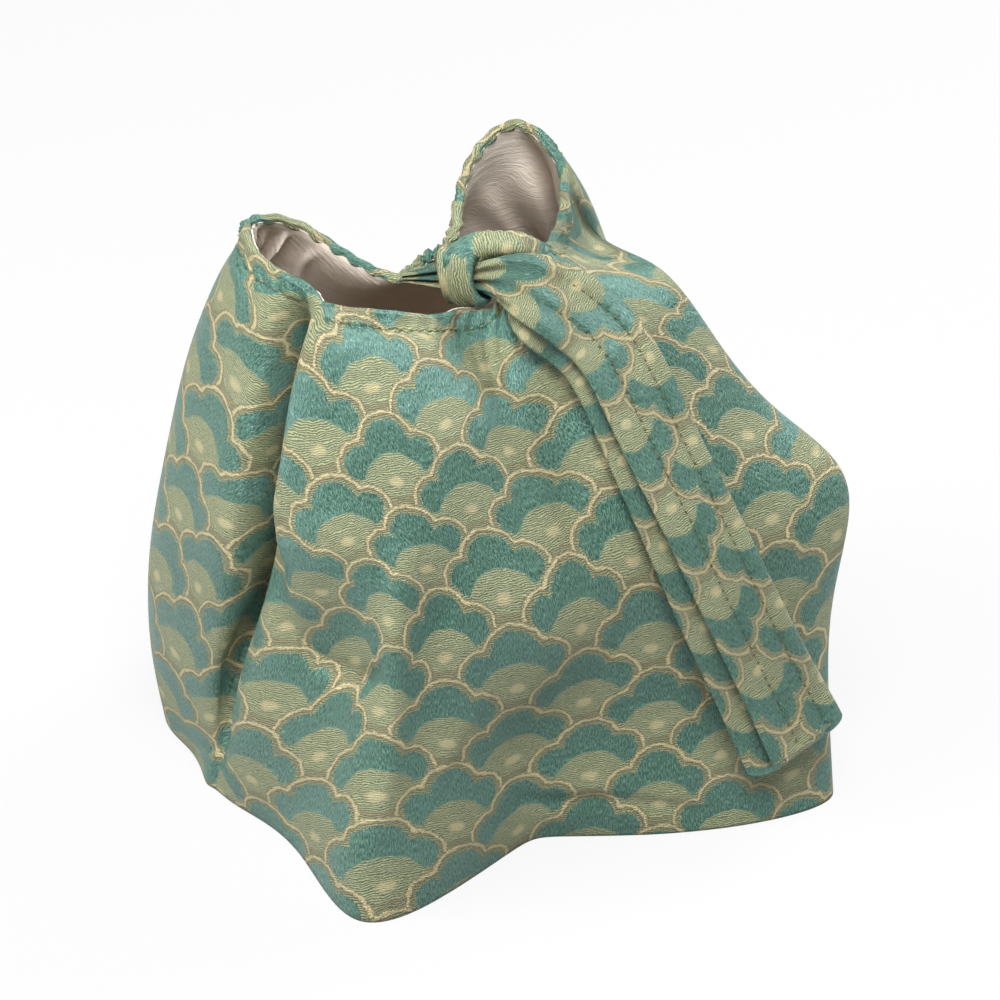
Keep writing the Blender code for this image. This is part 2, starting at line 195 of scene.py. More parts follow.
# Middle of a dome above its base, and where the weave lies on the loop and the roll.
DOME_MIDDLE = 5.0
LOOP_PLACE = (15.9, -0.5)
ROLL_PLACE = (-2.5, 21.0)
# The strap's weave hangs upside down: the distance down it of its left column's first dome,
# that dome's place across, and its columns' spacing, in millimetres.
STRAP_DOME = (66.4, -8.0)
STRAP_COLUMNS = 14.6

# The rolled edge over the knot as (x, y, z), from the knot to the right mouth's front.
ROLL_ROUTE = ((-15, -3, 154), (-11.5, -2, 158.5), (-6, -1, 161.8), (0, 0, 162.2), (5, 1.5, 161.4),
              (9, 4, 159), (13, 8, 156.5))
ROLL_RADII = (2.2, 4.6, 4.4, 3.7, 3.4, 2.8, 1.5)

# The brocade's thickness, the depth over which it thins from the rim, and how far inside
# the wall the lining runs, all in millimetres, with the gap to the lining's own back.
CLOTH_THICKNESS = 1.2
RIM_FADE = 5.0
LINING_INSET = 2.0
LINING_BACK = 0.25
LINING_FLOOR = 1.9
# Pitch of the machine stitches that dimple the lining along the mouth.
DIMPLE_PITCH = 5.0
# Folds at which the mouth is pinched, front and back, each with its reach in folds.
PINCHES = ((8.0, 0.9), (17.6, 1.0))
GATHER_PITCH = 0.34
# The strap's half thickness, and the gap between its layers in the loop and below it.
STRAP_HALF = 0.9
STRAP_GAPS = (2.3, 4.0)
# Half height, half depth and half length of the loop's oval, and its thickness.
LOOP_SIZES = (6.6, 4.2, 5.9, 1.2)
# Pitch and length of the hem's and of the strap's stitches, then the thread's thickness.
HEM_THREAD = (3.1, 1.7, 0.55)
STRAP_THREAD = (2.8, 1.5, 0.5)

# Soft boxes: name, place in metres, size in metres and power in watts, and where they point.
SOFT_BOXES = (("key_soft_box", (-0.80, -0.22, 0.85), 0.5, 11.0),
              ("top_soft_box", (0.0, -0.55, 1.20), 0.7, 24.0),
              ("rear_soft_box", (0.75, 0.65, 0.9), 0.6, 15.0))
LIGHT_TARGET = (0.0, 0.0, 0.08)
FLOOR_GREY = (0.45, 0.45, 0.45, 1.0)
WHITE = (1.0, 1.0, 1.0, 1.0)
AIR_COLOUR = (0.95, 0.97, 1.0, 1.0)
# The camera's downward tilt in degrees, its distance and what it looks at, in metres.
CAMERA_TILT = 32.7
CAMERA_REACH = 1.0417
CAMERA_AIM = (0.0030, -0.00304, 0.0815)


def hex_colour(code):
    """Linear colour of a six-digit sRGB hex code."""
    parts = [int(code[i:i + 2], 16) / 255 for i in (0, 2, 4)]
    return tuple(p / 12.92 if p <= 0.04045 else ((p + 0.055) / 1.055) ** 2.4 for p in parts)


class PouchSettings(bpy.types.PropertyGroup):
    """Sizes and colours of the pouch that a user would change."""

    rim_thickness: bpy.props.FloatProperty(
        name="Rim thickness", description="Both cloths turned in at the mouth",
        default=0.0029, min=0.001, max=0.004, precision=4, unit="LENGTH")
    hem_depth: bpy.props.FloatProperty(
        name="Hem depth", description="From the mouth's edge to its stitch line",
        default=0.0052, min=0.002, max=0.012, precision=4, unit="LENGTH")
    strap_width: bpy.props.FloatProperty(
        name="Strap width", description="Width of the folded wrist strap",
        default=0.022, min=0.012, max=0.035, precision=4, unit="LENGTH")
    motif_width: bpy.props.FloatProperty(
        name="Motif spacing", description="Sideways repeat of the woven scales",
        default=MOTIF_WIDTH * MM, min=0.02, max=0.08, precision=4, unit="LENGTH")
    motif_height: bpy.props.FloatProperty(
        name="Motif height", description="Upright repeat of the woven scales",
        default=MOTIF_HEIGHT * MM, min=0.014, max=0.06, precision=4, unit="LENGTH")
    teal: bpy.props.FloatVectorProperty(
        name="Satin", description="Teal satin of the scales", subtype="COLOR", size=3,
        min=0.0, max=1.0, default=hex_colour("42604F"))
    gold: bpy.props.FloatVectorProperty(
        name="Gold", description="Gold thread of the ground and domes", subtype="COLOR",
        size=3, min=0.0, max=1.0, default=hex_colour("A39F6E"))
    cream: bpy.props.FloatVectorProperty(
        name="Outline", description="Cream cord round each scale", subtype="COLOR", size=3,
        min=0.0, max=1.0, default=hex_colour("C9BE90"))
    cotton: bpy.props.FloatVectorProperty(
        name="Lining", description="Beige cotton of the lining", subtype="COLOR", size=3,
        min=0.0, max=1.0, default=hex_colour("F0E6DA"))


def unit(vectors):
    """Vectors of length one along the last axis."""
    return vectors / np.maximum(np.linalg.norm(vectors, axis=-1, keepdims=True), 1e-9)


def smooth_step(value, start, end):
    """Rise from 0 at start to 1 at end, level at both: 3 s^2 - 2 s^3."""
    share = np.clip((value - start) / (end - start), 0.0, 1.0)
    return share * share * (3.0 - 2.0 * share)


def bump_at(value, middle, width):
    """Rounded hill of height 1 at middle: e to the minus square of (value - middle) / width."""
    return np.exp(-((value - middle) / width) ** 2)


def slopes_through(points, closed):
    """Slopes at the points of the cubic whose bend never jumps, for a unit step."""
    count = len(points)
    left = np.eye(count) * 4.0 + np.roll(np.eye(count), 1, 0) + np.roll(np.eye(count), -1, 0)
    right = 3.0 * (np.roll(np.eye(count), 1, 1) - np.roll(np.eye(count), -1, 1))
    if not closed:
        left[0], right[0], left[-1], right[-1] = 0.0, 0.0, 0.0, 0.0
        left[0, :2], right[0, :2] = (2.0, 1.0), (-3.0, 3.0)
        left[-1, -2:], right[-1, -2:] = (1.0, 2.0), (-3.0, 3.0)
    return np.tensordot(np.linalg.solve(left, right), points, 1)


def cubic_through(points, where, closed=False):
    """Points of the smooth cubic through the given points, at the places in where."""
    points = np.asarray(points, dtype=float)
    count = len(points)
    slopes = slopes_through(points, closed)
    start = np.floor(where).astype(int)
    if not closed:
        start = np.clip(start, 0, count - 2)
    share = (where - start).reshape((-1,) + (1,) * (points.ndim - 1))
    end = (start + 1) % count
    start = start % count
    square, cube = share ** 2, share ** 3
    return (points[start] * (2 * cube - 3 * square + 1)
            + slopes[start] * (cube - 2 * square + share)
            + points[end] * (3 * square - 2 * cube) + slopes[end] * (cube - square))


def grid_normals(rows):
    """Outward direction at each grid point: the way down the rows crossed with the way round."""
    return unit(np.cross(np.gradient(rows, axis=0), np.roll(rows, -1, 1) - np.roll(rows, 1, 1)))


def lengths_along(rows, axis):
    """Distance walked along an axis of a grid of points, from its first point."""
    steps = np.linalg.norm(np.diff(rows, axis=axis), axis=-1)
    pad = [(0, 0), (0, 0)]
    pad[axis] = (1, 0)
    return np.cumsum(np.pad(steps, pad), axis=axis)


def bag_wall(columns, shares):
    """Outer face of the cloth as a grid of rows by columns, at shares of the way down the folds.

    A point is the cubic round the bag through the folds, then the cubic down each column.
    """
    around = np.linspace(0, len(FOLDS), columns, endpoint=False)
    down = (len(FOLDS[0]) - 1) * shares
    rings = cubic_through(np.array(FOLDS, dtype=float), around, closed=True)
    return cubic_through(rings.transpose(1, 0, 2), down) + CENTRING


def cloth_lengths(wall, fold):
    """Width and height of the flat cloth at each point of the wall, in millimetres.

    The height is the distance up the column from the floor's edge. The width is the
    distance round the row from the given fold, so the weave keeps its scale. The seam
    column is given twice, once for each side.
    """
    closed = np.concatenate([wall, wall[:, :1]], axis=1)
    height = lengths_along(closed[::-1], 0)[::-1]
    around = lengths_along(closed, 1)
    start = fold * wall.shape[1] // len(FOLDS)
    return around - around[:, start:start + 1], height


def pull_between(places, spots):
    """Pull of each spot at each place: (1 + s) e to the -s, s the distance over the reach."""
    share = np.linalg.norm(places[:, None] - spots[None], axis=-1) * math.sqrt(3) / PULL_REACH
    return (1 + share) * np.exp(-share)


def woven_place(width, height, domes):
    """Place in the woven repeat at each point of the flat cloth, in millimetres.

    A straight-line map and a sum of rounded pulls, which die away within a few
    centimetres, are fitted so that each dome of the weave lies where it is listed.
    """
    domes = np.array(domes, dtype=float)
    spots = domes[:, :2]
    column, row = domes[:, 2], domes[:, 3]
    wanted = np.stack([column * MOTIF_WIDTH / 2, -(column / 2 + row) * MOTIF_HEIGHT], -1)
    plain = np.column_stack([spots, np.ones(len(spots))])
    inverse = np.linalg.inv(pull_between(spots, spots) + PULL_EASE * np.eye(len(spots)))
    straight = np.linalg.solve(plain.T @ inverse @ plain, plain.T @ inverse @ wanted)
    weights = inverse @ (wanted - plain @ straight)
    flat = np.stack([width, height], -1).reshape(-1, 2)
    place = np.column_stack([flat, np.ones(len(flat))]) @ straight
    return (place + pull_between(flat, spots) @ weights).reshape(*width.shape, 2)


def quad_corners(flat):
    """Flat places of the four corners of each quad of a grid, in the order of its faces."""
    return np.stack([flat[:-1, :-1], flat[1:, :-1], flat[1:, 1:], flat[:-1, 1:]], 2)


def mesh_object(name, points, faces, material):
    """Smooth object from points in millimetres and faces, with one material."""
    mesh = bpy.data.meshes.new(name)
    mesh.from_pydata((points.reshape(-1, 3) * MM).tolist(), [], faces)
    mesh.shade_smooth()
    mesh.materials.append(material)
    piece = bpy.data.objects.new(name, mesh)
    bpy.context.scene.collection.objects.link(piece)
    return piece


def grid_object(name, rows, corners, material, ring=False):
    """Object of quads between closed rows of points, with the given flat places as its UV map.

    A ring joins its last row to its first. Any other grid is closed by a cap at each end.
    """
    count, across = rows.shape[:2]
    j, i = np.meshgrid(np.arange(count if ring else count - 1), np.arange(across), indexing="ij")
    k, below = (i + 1) % across, (j + 1) % count
    quads = np.stack([j * across + i, below * across + i, below * across + k, j * across + k], -1)
    faces = quads.reshape(-1, 4).tolist()
    if not ring:
        last = list(range((count - 1) * across, count * across))
        faces += [list(range(across)), last[::-1]]
    piece = mesh_object(name, rows, faces, material)
    flat = corners.reshape(-1, 2)
    flat = np.concatenate([flat, np.zeros((len(piece.data.loops) - len(flat), 2))])
    layer = piece.data.uv_layers.new(name="cloth")
    layer.data.foreach_set("uv", flat.astype(np.float32).ravel())
    return piece


def crease_lift(width, height, creases=CREASES):
    """Lift of the cloth by creases, in millimetres.

    Each crease adds (rise + lean s) e to the -s squared, where s is the distance from its
    line over its half width, signed to one side, and fades out towards the line's ends.
    """
    samples = 40
    spots = np.stack([width, height], -1)
    lift = np.zeros(width.shape)
    for line, rise, lean, reach in creases:
        path = cubic_through(line, np.linspace(0, len(line) - 1, samples))
        way = unit(np.gradient(path, axis=0))
        gap = spots[:, :, None] - path
        square = (gap ** 2).sum(-1)
        near = square.argmin(-1)
        far = np.sqrt(np.take_along_axis(square, near[..., None], -1)[..., 0])
        side = np.take_along_axis(gap, near[..., None, None], 2)[:, :, 0]
        signed = (way[near, 0] * side[..., 1] - way[near, 1] * side[..., 0]) / reach
        fade = np.sqrt(np.sin(np.pi * (near + 0.5) / samples))
        lift += fade * (rise + lean * signed) * np.exp(-(far / reach) ** 2)
    return lift


def panel_corners(wall, lead, rim_rise, floor):
    """Woven places for the quads of the bag's shell, from two panels that meet in seams.

    The rows before the wall's first keep its width and rise past the edge by rim_rise,
    and the rows under the floor keep its last width and run on below its edge.
    """
    columns = wall.shape[1]
    below = -lengths_along(np.concatenate([wall[-1:], floor]), 0)[1:]
    below = np.concatenate([below, below[:, :1]], axis=1)
    places = []
    for fold, domes in ((FRONT_FOLD, FRONT_DOMES), (SIDE_FOLD, SIDE_DOMES)):
        width, height = cloth_lengths(wall, fold)
        if fold == SIDE_FOLD:
            around = cloth_lengths(wall, 0)[0][:, -1:]
            width = width - around * (np.arange(columns + 1) >= BACK_FOLD * columns // len(FOLDS))
        first = height[:1] + rim_rise[:, None]
        width = np.concatenate([np.repeat(width[:1], lead, 0), width,
                                np.repeat(width[-1:], len(floor), 0)])
        height = np.concatenate([first, height, below])
        places.append(quad_corners(woven_place(width, height, domes)))
    column = np.arange(columns) * len(FOLDS) / columns
    at_side = (column < PLEAT_FOLD) | (column >= BACK_FOLD)
    return np.where(at_side[None, :, None, None], places[1], places[0])


def creased_wall(settings, columns, wall_rows):
    """The bag's outer face with its hem, puckers, gathers and creases, with normals and depths.

    The hem is a raised band with a sunk stitch line and small puckers. Gathers are
    cosine pleats that spread from the pinch in the middle of the mouth.
    """
    wall = bag_wall(columns, np.linspace(0, 1, wall_rows))
    normal = grid_normals(wall)
    width, height = (flat[:, :-1] for flat in cloth_lengths(wall, FRONT_FOLD))
    depth = lengths_along(wall, 0)
    stitch = settings.hem_depth / MM
    hem = (0.4 * (1 - smooth_step(depth, stitch - 0.6, stitch + 0.6))
           - 0.5 * bump_at(depth, stitch, 0.8))
    wave = width * 2 * np.pi / 7.3 + 1.5 * np.sin(width / 9.0)
    pucker = (0.22 * np.sin(width * 2 * np.pi / HEM_THREAD[0]) * bump_at(depth, stitch, 2.6)
              + 0.28 * np.sin(wave) * bump_at(depth, 3.0, 7.0))
    column = np.arange(columns) * len(FOLDS) / columns
    pinched = sum(bump_at(column, place, reach) for place, reach in PINCHES)
    gathers = 0.9 * pinched * np.cos(column * 2 * np.pi / GATHER_PITCH) * np.exp(-depth / 16.0)
    lift = hem + pucker + gathers + crease_lift(width, height)
    return wall + normal * lift[..., None], normal, depth


def hem_line(settings, columns=828):
    """Points along the hem's stitch groove, right round the mouth, and their outward ways."""
    wall, normal, depth = creased_wall(settings, columns, 170)
    stitch = settings.hem_depth / MM
    row = np.abs(depth - stitch).argmin(0)
    around = np.arange(columns)
    above = np.maximum(row - 1, 0)
    below = row + 1
    near, far = depth[above, around], depth[below, around]
    share = np.clip((stitch - near) / (far - near), 0, 1)[:, None]
    line = wall[above, around] * (1 - share) + wall[below, around] * share
    return line, normal[row, around]


def outer_shell(settings, columns=414, wall_rows=152):
    """Closed shell of the brocade bag and the woven places of its quads.

    Rows run from the inner floor up the inside, in a half circle over the rim, down the
    outside and in under the floor. The rim has three ridges, as layers turned in have.
    """
    wall, normal, depth = creased_wall(settings, columns, wall_rows)
    flat_wall = bag_wall(columns, np.linspace(0, 1, wall_rows))
    radius = settings.rim_thickness / MM / 2
    up = unit(wall[0] - wall[1])
    wall = wall - up * radius * np.exp(-depth / 6.0)[..., None]
    angles = np.linspace(0, np.pi, 21)[1:-1][::-1, None, None]
    full = radius * (1 + 0.09 * np.cos(6 * angles))
    over = wall[0] + up * full * np.sin(angles) - normal[0] * (radius - full * np.cos(angles))
    inner_rows = np.linspace(0, wall_rows - 1, 42).astype(int)[::-1]
    fade = np.exp(-depth[inner_rows] / RIM_FADE)
    thickness = CLOTH_THICKNESS + (2 * radius - CLOTH_THICKNESS) * fade
    inside = wall[inner_rows] - normal[inner_rows] * thickness[..., None]
    inside[..., 2] = np.maximum(inside[..., 2], CLOTH_THICKNESS)
    edge = wall[-1]
    middle = edge.mean(axis=0)
    shares = np.array([0.05, 0.15, 0.3, 0.5, 0.7, 0.85, 0.95])[:, None, None]
    floor = edge + (middle - edge) * shares
    inner_floor = inside[0] + (middle + (0, 0, CLOTH_THICKNESS) - inside[0]) * shares[::-1]
    rows = np.concatenate([inner_floor, inside, over, wall, floor])
    lead = len(inner_floor) + len(inside) + len(over)
    rim_rise = np.zeros(lead)
    rim_rise[-len(over):] = np.linspace(math.pi * radius, 0.2, len(over))
    return rows, panel_corners(flat_wall, lead, rim_rise, floor)


def lining_shell(settings, columns=414, rows_seen=130):
    """Closed shell of the cotton lining, inside the brocade, and the flat places of its quads.

    It is a coarse copy of the wall moved inwards square to its faces, with a smooth
    cubic through it both ways, so that it follows the folds and never cuts itself.
    Its pleats stand into the bag, and stitches dimple it along the mouth.
    """
    coarse_columns, coarse_rows = 69, 25
    coarse = bag_wall(coarse_columns, np.linspace(0, 1, coarse_rows))
    coarse_normal = grid_normals(coarse)
    depth = lengths_along(coarse, 0)
    rim = settings.rim_thickness / MM
    inset = (LINING_INSET + (rim - CLOTH_THICKNESS) * np.exp(-depth / RIM_FADE)
             + 0.5 * smooth_step(depth, 15, 40))
    at_pleat = bump_at(np.arange(coarse_columns) * len(FOLDS) / coarse_columns, PLEAT_FOLD, 0.55)
    inset = inset - 1.9 * at_pleat * np.exp(-depth / 9.0)
    inset[0] = rim - 0.7 - at_pleat
    coarse = coarse - coarse_normal * inset[..., None]
    coarse[0] += unit(coarse[1] - coarse[0])
    coarse[..., 2] = np.maximum(coarse[..., 2], LINING_FLOOR)
    around = np.linspace(0, coarse_columns, columns, endpoint=False)
    shares = np.linspace(0, 1, rows_seen) ** 1.5
    seen = cubic_through(cubic_through(coarse.transpose(1, 0, 2), around, closed=True)
                         .transpose(1, 0, 2), (coarse_rows - 1) * shares)
    normal = grid_normals(seen)
    depth = lengths_along(seen, 0)
    width, height = cloth_lengths(seen, FRONT_FOLD)
    column = np.arange(columns) * len(FOLDS) / columns
    stand = np.zeros(depth.shape)
    for place, reach, rise, begin, full in LINING_PLEATS:
        fade = smooth_step(depth, begin, full) * (1 - smooth_step(depth, full + 18, full + 45))
        stand = stand + rise * bump_at(column, place, reach)[None] * fade
    turn = width[:, :-1] * 2 * np.pi / DIMPLE_PITCH
    dimple = 0.25 * np.maximum(0.0, np.cos(turn)) ** 3 * bump_at(depth, 3.2, 1.3)
    ripple = 0.1 * np.sin(turn + 1.2) * bump_at(depth, 4.5, 3.5)
    wall = bag_wall(columns, shares)
    hollows = [(line, 1.2 * rise, 0.0, 1.4 * reach) for line, rise, _, reach in CREASES if rise < 0]
    pressed = crease_lift(*(flat[:, :-1] for flat in cloth_lengths(wall, FRONT_FOLD)), hollows)
    seen = seen + normal * (pressed - stand + dimple - ripple)[..., None]
    back_rows = np.linspace(0, rows_seen - 1, 66).astype(int)[::-1]
    back = seen[back_rows] + normal[back_rows] * LINING_BACK
    middle = seen[-1].mean(axis=0)
    inward = np.array([0.15, 0.4, 0.7, 0.95])[:, None, None]
    floor = seen[-1] + (middle - seen[-1]) * inward
    back_floor = back[0] + (middle - (0, 0, 0.3) - back[0]) * inward[::-1]
    rows = np.concatenate([back_floor, back, seen, floor])[::-1]
    flat = np.stack([width, height], -1)
    flat = np.concatenate([np.repeat(flat[:1], len(back_floor) + len(back), 0), flat,
                           np.repeat(flat[-1:], len(floor), 0)])[::-1]
    return rows, quad_corners(flat)


def strap_frame(where):
    """Centre, way along, right-hand way and outward way of the strap's front layer."""
    centre = cubic_through(STRAP_ROUTE, where) + CENTRING
    step = 0.01
    ahead = cubic_through(STRAP_ROUTE, np.minimum(where + step, STRAP_LAST))
    behind = cubic_through(STRAP_ROUTE, np.maximum(where - step, 0))
    along = unit(ahead - behind)
    out = unit(np.cross(along, cubic_through(STRAP_ACROSS, where)))
    return centre, along, np.cross(out, along), out


def strap_opening(where):
    """Share by which the strap has opened out, from 0 in the loop to 1 below it."""
    return smooth_step(where, STRAP_NECK_UNTIL, STRAP_FULL_FROM)


def strap_middle(where):
    """Middle line of the folded strap with its ways, down the front and back up under it."""
    centre, along, across, out = strap_frame(where)
    opened = strap_opening(where)[:, None]
    gap = STRAP_GAPS[0] + (STRAP_GAPS[1] - STRAP_GAPS[0]) * opened
    shift = opened * (3.2 + 3.0 * smooth_step(where, 7.0, 10.5)[:, None])
    angles = np.linspace(0, np.pi, 14)[1:-1, None]
    radius = gap[-1] / 2
    round_by = 1 - np.cos(angles)
    turn = (centre[-1] - out[-1] * radius * round_by + along[-1] * radius * np.sin(angles)
            - across[-1] * shift[-1] * round_by / 2)
    turn_out = out[-1] * np.cos(angles) + along[-1] * np.sin(angles)
    under = centre - out * gap - across * shift
    middle = np.concatenate([centre, turn, under[::-1]])
    side = np.concatenate([across, np.repeat(across[-1:], len(turn), 0), across[::-1]])
    face = np.concatenate([out, turn_out, -out[::-1]])
    station = np.concatenate([where, np.full(len(turn), STRAP_LAST), where[::-1]])
    return middle, side, face, station


def strap_width(settings, station):
    """Width of the strap: a gathered tip, the neck in the loop, then full, spread at its fold."""
    gathers = smooth_step(station, 0, STRAP_GATHER_UNTIL)
    neck = STRAP_TIP_WIDTH + (STRAP_NECK_WIDTH - STRAP_TIP_WIDTH) * gathers
    flare = 3.0 * smooth_step(station, STRAP_FLARE_FROM, STRAP_LAST)
    full = settings.strap_width / MM
    return neck + (full - STRAP_NECK_WIDTH) * strap_opening(station) + flare


def strap_lift(share, station, length):
    """Height of the strap's face over its middle: an oblong's edge, bands, seams and gathers.

    The gathers are cosine pleats that run along the strap and open out below the loop.
    """
    edge = STRAP_HALF * np.sqrt(np.clip(1 - np.abs(share) ** 7, 0, 1))
    seams = sum(bump_at(share, place, 0.045) for place in STRAP_STITCHES)
    beside = sum(bump_at(share, place, 0.15) for place in STRAP_STITCHES)
    bands = bump_at(share, -0.64, 0.3) + bump_at(share, 0.13, 0.3) + bump_at(share, 0.78, 0.2)
    gathered = (1 - smooth_step(station, 3.4, 6.2))[:, None]
    pleats = 0.75 * gathered * np.cos(share * 3 * np.pi + 0.5 * np.sin(length / 6.0))
    puckers = 0.12 * np.sin(length * 2 * np.pi / 2.8) * beside
    pressed = (1 - gathered) * (0.3 * bands - 0.45 * seams + puckers)
    return edge + pressed + pleats * (1 - share ** 8)


def strap_woven_place(across, length):
    """Place in the woven repeat at each point of the strap, in millimetres.

    The rows of domes lie closer together near the loop, and the columns drift to the
    right down the strap, because its cloth was cut a little off the weave.
    """
    down = length - STRAP_DOME[0]
    rows = down / 24.3 - 3.2e-5 * down * np.abs(down)
    columns = (across - STRAP_DOME[1] - 0.04 * down) / STRAP_COLUMNS
    return np.stack([columns * MOTIF_WIDTH / 2, rows * MOTIF_HEIGHT], -1)


def strap_shell(settings, stations=230, strips=48):
    """Closed flat tube of the folded strap and the woven places of its quads.

    The middle line runs down the front layer, round the bottom fold and back up under
    it. The profile across is a thin rounded oblong with two sunk stitch lines.
    """
    middle, side, face, station = strap_middle(np.linspace(0, STRAP_LAST, stations))
    width = strap_width(settings, station)[:, None]
    length = lengths_along(middle[:, None], 0)
    share = np.linspace(-1, 1, strips + 1)
    lift = strap_lift(share, station, length)
    upper = (middle[:, None] + side[:, None] * (width * share / 2)[..., None]
             + face[:, None] * lift[..., None])
    lower_share = share[::-1][1:-1]
    lower_lift = -STRAP_HALF * np.sqrt(np.clip(1 - np.abs(lower_share) ** 7, 0, 1)) + 0 * length
    lower = (middle[:, None] + side[:, None] * (width * lower_share / 2)[..., None]
             + face[:, None] * lower_lift[..., None])
    rows = np.concatenate([upper, lower], axis=1)
    ring = np.concatenate([share, lower_share, share[:1]])
    front = np.minimum(length, 2 * lengths_along(middle[:stations, None], 0)[-1] - length)
    across = ring * settings.strap_width / MM / 2 + 0 * length
    return rows, quad_corners(strap_woven_place(across, front + 0 * ring))


def loop_shell(around=140, strips=30):
    """Closed tube-like band of the loop that holds the gathered strap, and its flat places.

    The oval band swells in its middle, is drawn in at its ends and has cosine folds.
    """
    centre, along, across, out = (part[0] for part in strap_frame(np.array([LOOP_STATION])))
    middle = centre - out * STRAP_GAPS[0] / 2
    tall, deep, half_length, thickness = LOOP_SIZES
    angles = np.linspace(0, 2 * np.pi, around, endpoint=False)
    share = np.linspace(-1, 1, strips + 1)[:, None]
    fold = 0.45 * np.cos(share * 7.0 + 0.9 * np.sin(angles * 2)) * (1 - share ** 6)
    fold = fold - 0.9 * bump_at(share, 0.75 + 0.3 * np.cos(angles), 0.12) * (1 + np.cos(angles)) / 2
    lift = thickness * np.sqrt(np.clip(1 - np.abs(share) ** 6, 0, 1)) + 1.1 * (1 - share ** 2)
    spread = 1 + 0.10 * np.cos(angles * 2)
    ways = across * np.cos(angles)[:, None] - out * np.sin(angles)[:, None]
    oval = across * tall * np.cos(angles)[:, None] - out * deep * np.sin(angles)[:, None]
    line = middle + oval[None] + along * (half_length * share * spread)[..., None]
    outer = line + ways[None] * (lift + fold)[..., None]
    inner = (line + ways[None] * 0.1)[::-1][1:-1]
    rows = np.concatenate([outer, inner])
    flat = np.meshgrid(np.linspace(0, 34, around + 1), np.linspace(0, 22, len(rows) + 1))
    return rows, quad_corners(np.stack(flat, -1))


def roll_shell(stations=90, around=64):
    """Soft tube of the rolled edge over the knot, with cosine folds, and its flat places."""
    where = np.linspace(0, len(ROLL_ROUTE) - 1, stations)
    line = cubic_through(ROLL_ROUTE, where) + CENTRING
    radius = cubic_through(np.array(ROLL_RADII)[:, None], where)
    along = unit(np.gradient(line, axis=0))
    side = unit(np.cross(along, (0.0, -0.54, 0.84)))
    face = np.cross(side, along)
    angles = np.linspace(0, 2 * np.pi, around, endpoint=False)
    length = lengths_along(line[:, None], 0)
    folds = 1 + 0.09 * np.cos(3 * angles + length / 5.0) + 0.04 * np.cos(length * 2.2 + angles)
    rows = (line[:, None] + side[:, None] * (radius * folds * np.cos(angles))[..., None]
            + face[:, None] * (radius * folds * 0.8 * np.sin(angles))[..., None])
    turn = np.linspace(0, 22, around + 1)[None]
    return rows, quad_corners(np.stack([turn + 0 * length, -length + 0 * turn], -1))


def stitch_mesh(name, starts, ends, outs, thickness, material):
    """Thread stitches: each a thin rod, bowed outwards, between its two needle holes."""
    rings, sides = 7, 6
    share = np.linspace(0, 1, rings)[None, :, None, None]
    angle = np.linspace(0, 2 * np.pi, sides, endpoint=False)[None, None, :, None]
    along = unit(ends - starts)
    outs = unit(outs - along * (outs * along).sum(-1, keepdims=True))
    cross = np.cross(along, outs)
    bow = np.sin(np.pi * share)
    line = starts[:, None, None] + (ends - starts)[:, None, None] * share
    line = line + outs[:, None, None] * thickness * (1.2 * bow - 0.7)
    radius = thickness * (0.35 + 0.65 * np.sqrt(bow)) / 2
    ways = outs[:, None, None] * np.cos(angle) + cross[:, None, None] * np.sin(angle)
    points = line + radius * ways
    count = len(starts)
    n, j, i = np.meshgrid(np.arange(count), np.arange(rings - 1), np.arange(sides), indexing="ij")
    k = (i + 1) % sides
    base = n * rings * sides
    quads = np.stack([base + j * sides + i, base + j * sides + k,
                      base + (j + 1) * sides + k, base + (j + 1) * sides + i], -1)
    return mesh_object(name, points, quads.reshape(-1, 4).tolist(), material)


def spaced_along(line, outs, pitch, length):
    """Starts, ends and outward ways of stitches at an even pitch along a line of points."""
    walked = lengths_along(line[:, None], 0)[:, 0]
    begins = np.arange(pitch / 2, walked[-1] - length, pitch)
    return tuple(np.stack([np.interp(at, walked, part[:, axis]) for axis in range(3)], -1)
                 for at, part in ((begins, line), (begins + length, line), (begins, outs)))


def add_node(tree, kind, settings=None, sockets=None):
    """Node with its settings, and its inputs linked to sockets or set to values."""
    node = tree.nodes.new(kind)
    for name, value in (settings or {}).items():
        setattr(node, name, value)
    for name, value in (sockets or {}).items():
        if isinstance(value, bpy.types.Node):
            value = value.outputs[0]
        if isinstance(value, bpy.types.NodeSocket):
            tree.links.new(value, node.inputs[name])
        else:
            node.inputs[name].default_value = value
    return node


def work_out(tree, known, steps):
    """Math nodes for lines of steps: a name, an operation, and inputs as names or numbers.

    HELD is a multiply and add held between 0 and 1, and LENGTH the root of two squares' sum.
    """
    for line in steps.strip().splitlines():
        name, operation, *inputs = line.split()
        if operation == "LENGTH":
            x, y = inputs
            work_out(tree, known, f"square MULTIPLY {x} {x}\nsum MULTIPLY_ADD {y} {y} square")
            operation, inputs = "SQRT", ["sum"]
        values = {i: known[word] if word in known else float(word) for i, word in enumerate(inputs)}
        held = operation == "HELD"
        setting = {"operation": "MULTIPLY_ADD" if held else operation, "use_clamp": held}
        known[name] = add_node(tree, "ShaderNodeMath", setting, values)


def mix_colours(tree, start, layers):
    """Colour nodes that lay each (colour, cover) over what is below it."""
    below = start
    for colour, cover in layers:
        mixed = add_node(tree, "ShaderNodeMix", {"data_type": "RGBA"},
                         {0: cover, 6: below, 7: colour})
        below = mixed.outputs[2]
    return below


def new_material(name):
    """Material with an empty node tree, its Principled BSDF and its output."""
    material = bpy.data.materials.new(name)
    material.use_nodes = True
    tree = material.node_tree
    tree.nodes.clear()
    shader = add_node(tree, "ShaderNodeBsdfPrincipled")
    add_node(tree, "ShaderNodeOutputMaterial", None, {"Surface": shader})
    return material, tree, shader


def opaque(colour, factors=(1.0, 1.0, 1.0)):
    """Colour times its factors, with full cover, for a colour socket."""
    return (*(min(1.0, c * f) for c, f in zip(colour, factors)), 1.0)


